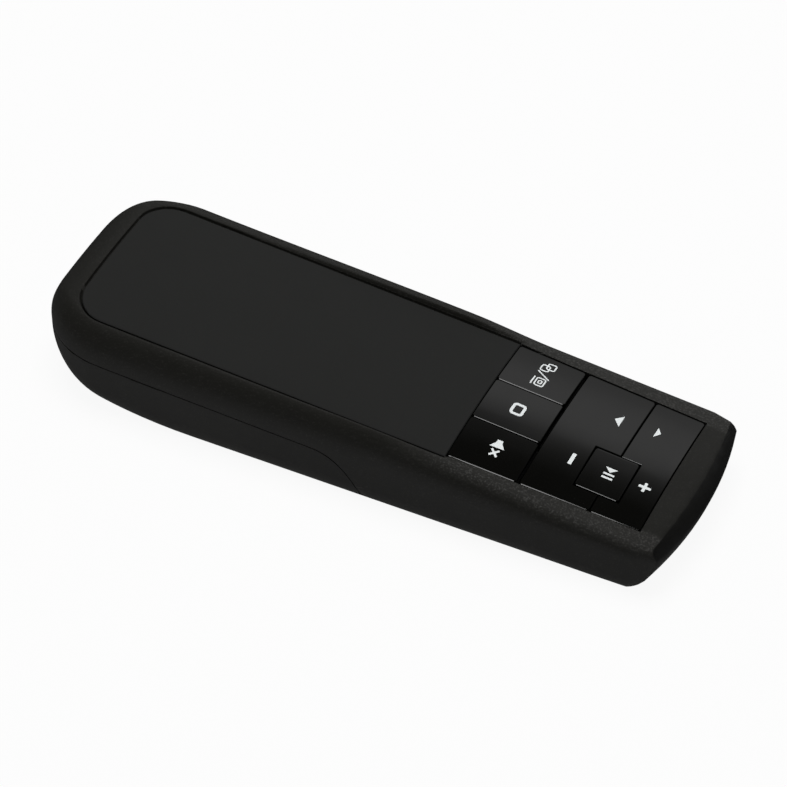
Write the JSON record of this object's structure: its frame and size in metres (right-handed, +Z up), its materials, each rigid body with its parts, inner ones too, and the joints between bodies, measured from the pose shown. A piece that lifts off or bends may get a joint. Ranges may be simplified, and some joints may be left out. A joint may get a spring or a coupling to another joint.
{
  "type": "wireless presentation clicker",
  "caption": "Black hand-held wireless presentation clicker: wedge-shaped body, matt grip panel, glossy keys and two interlocking rockers round a square play key, sliding battery cover.",
  "frame": {"origin": "centre of the bounding box in plan, on the surface the clicker lies on", "axes": "+X from the handle to the nose, +Y to the user's left, +Z up"},
  "size_m": [0.1306, 0.0448, 0.019],
  "materials": {
    "housing_black": "fine moulded texture",
    "cover_black": "fine moulded texture",
    "panel_grey": "smooth satin inlay",
    "key_gloss": "polished",
    "frame_black": "plain moulded",
    "board_green": "solder mask",
    "chip_black": "moulded chip",
    "ceramic_white": "ceramic",
    "crystal_steel": "can",
    "contact_nickel": "nickel plated strip",
    "screw_steel": "zinc plated",
    "cell_wrap": "plain printed wrap",
    "plug_steel": "plug sleeve",
    "receiver_black": "moulded",
    "slider_grey": "moulded",
    "plunger_black": "moulded"
  },
  "bodies": {
    "housing": {"upper_housing": "housing_black", "lower_housing": "frame_black", "grip_panel": "panel_grey", "key_frame": "frame_black", "circuit_board": "board_green", "board_screw": "screw_steel", "housing_screws": "screw_steel", "tact_switches": "chip_black", "controller_chip": "chip_black", "crystal": "crystal_steel", "chip_antenna": "ceramic_white", "chip_parts": "ceramic_white", "battery_cell_near": "cell_wrap", "battery_cell_far": "cell_wrap", "contact_bridge": "contact_nickel", "contact_positive": "contact_nickel", "contact_negative": "contact_nickel", "receiver_body": "receiver_black", "receiver_plug": "plug_steel", "power_switch": "crystal_steel"},
    "press_window": {"key_window": "key_gloss", "plunger_window": "plunger_black"},
    "press_stop": {"key_stop": "key_gloss", "plunger_stop": "plunger_black"},
    "press_mute": {"key_mute": "key_gloss", "plunger_mute": "plunger_black"},
    "press_play_pause": {"key_play_pause": "key_gloss", "plunger_play_pause": "plunger_black"},
    "tip_back_minus": {"rocker_back_minus": "key_gloss"},
    "tip_forward_plus": {"rocker_forward_plus": "key_gloss"},
    "cover": {"battery_cover": "cover_black"},
    "power": {"power_slider": "slider_grey"}
  },
  "joints": [
    {"name": "press_window", "type": "slide", "parent": "housing", "child": "press_window", "axis": [0, 0, -1], "range_m": [0, 0.00035], "stiffness_N_per_m": 350, "springref_m": -0.001},
    {"name": "press_stop", "type": "slide", "parent": "housing", "child": "press_stop", "axis": [0, 0, -1], "range_m": [0, 0.00035], "stiffness_N_per_m": 350, "springref_m": -0.001},
    {"name": "press_mute", "type": "slide", "parent": "housing", "child": "press_mute", "axis": [0, 0, -1], "range_m": [0, 0.00035], "stiffness_N_per_m": 350, "springref_m": -0.001},
    {"name": "press_play_pause", "type": "slide", "parent": "housing", "child": "press_play_pause", "axis": [0, 0, -1], "range_m": [0, 0.00035], "stiffness_N_per_m": 350, "springref_m": -0.001},
    {"name": "tip_back_minus", "type": "hinge", "parent": "housing", "child": "tip_back_minus", "pos_m": [0.04123, 0.0019, 0.01115], "axis": [0.9975, 0, -0.0707], "range_deg": [-1.2, 1.2], "stiffness_Nm_per_rad": 0.2},
    {"name": "tip_forward_plus", "type": "hinge", "parent": "housing", "child": "tip_forward_plus", "pos_m": [0.05304, 0.0019, 0.01031], "axis": [0.9975, 0, -0.0707], "range_deg": [-1.2, 1.2], "stiffness_Nm_per_rad": 0.2},
    {"name": "cover_off", "type": "slide", "parent": "housing", "child": "cover", "axis": [-1, 0, 0], "range_m": [0, 0.075]},
    {"name": "power_slide", "type": "slide", "parent": "housing", "child": "power", "axis": [1, 0, 0], "range_m": [0, 0.003]}
  ]
}
